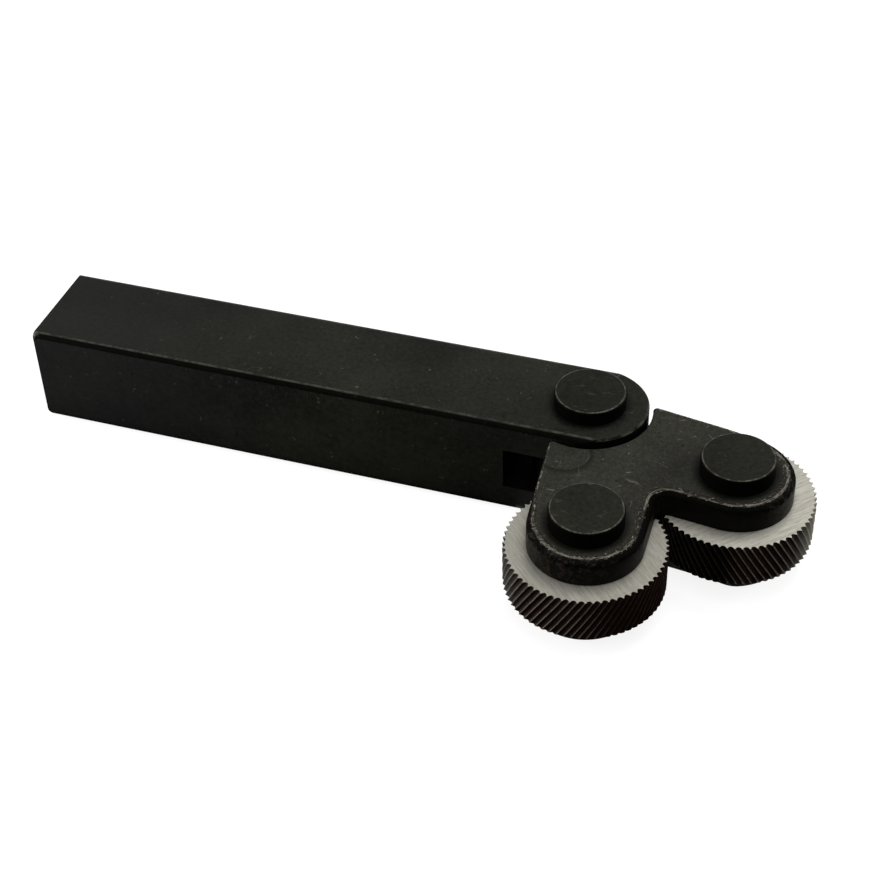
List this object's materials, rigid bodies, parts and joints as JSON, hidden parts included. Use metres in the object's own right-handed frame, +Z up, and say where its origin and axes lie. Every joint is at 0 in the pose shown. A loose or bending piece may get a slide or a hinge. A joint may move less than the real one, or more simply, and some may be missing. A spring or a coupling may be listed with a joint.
{
  "type": "knurling tool",
  "caption": "Lathe knurling tool: square shank with a forked round end, swivel head on a pivot pin, and diagonal knurl wheels of opposite hand between the head's plates.",
  "frame": {"origin": "Centre of the clamped length of the square shank, on its underside, which the tool lies on with the pin heads up", "axes": "+X along the shank towards the head, +Z up through the pin heads, parallel to the pivot and wheel axes"},
  "size_m": [0.1377, 0.0496, 0.0216],
  "materials": {
    "black_steel": "black oxide, satin, worn pale on edges",
    "pin_steel": "black oxide, satin, with a bright rim round each head",
    "knurl_steel": "ground faces, fine straight grinding lines, dark tooth grooves"
  },
  "bodies": {
    "shank": {"shank": "black_steel", "pivot_pin": "pin_steel"},
    "head": {"swivel_head": "black_steel", "right_hand_wheel_pin": "pin_steel", "left_hand_wheel_pin": "pin_steel"},
    "right_hand_wheel": {"right_hand_knurl_wheel": "knurl_steel"},
    "left_hand_wheel": {"left_hand_knurl_wheel": "knurl_steel"}
  },
  "joints": [
    {"name": "head_swivel", "type": "hinge", "parent": "shank", "child": "head", "pos_m": [0.05525, 0, 0.00953], "axis": [0, 0, 1], "range_deg": [-2.7, 97.3]},
    {"name": "right_hand_wheel_spin", "type": "hinge", "parent": "head", "child": "right_hand_wheel", "pos_m": [0.06188, -0.02709, 0.00953], "axis": [0, 0, 1], "continuous": true},
    {"name": "left_hand_wheel_spin", "type": "hinge", "parent": "head", "child": "left_hand_wheel", "pos_m": [0.08172, -0.00878, 0.00953], "axis": [0, 0, 1], "continuous": true}
  ]
}
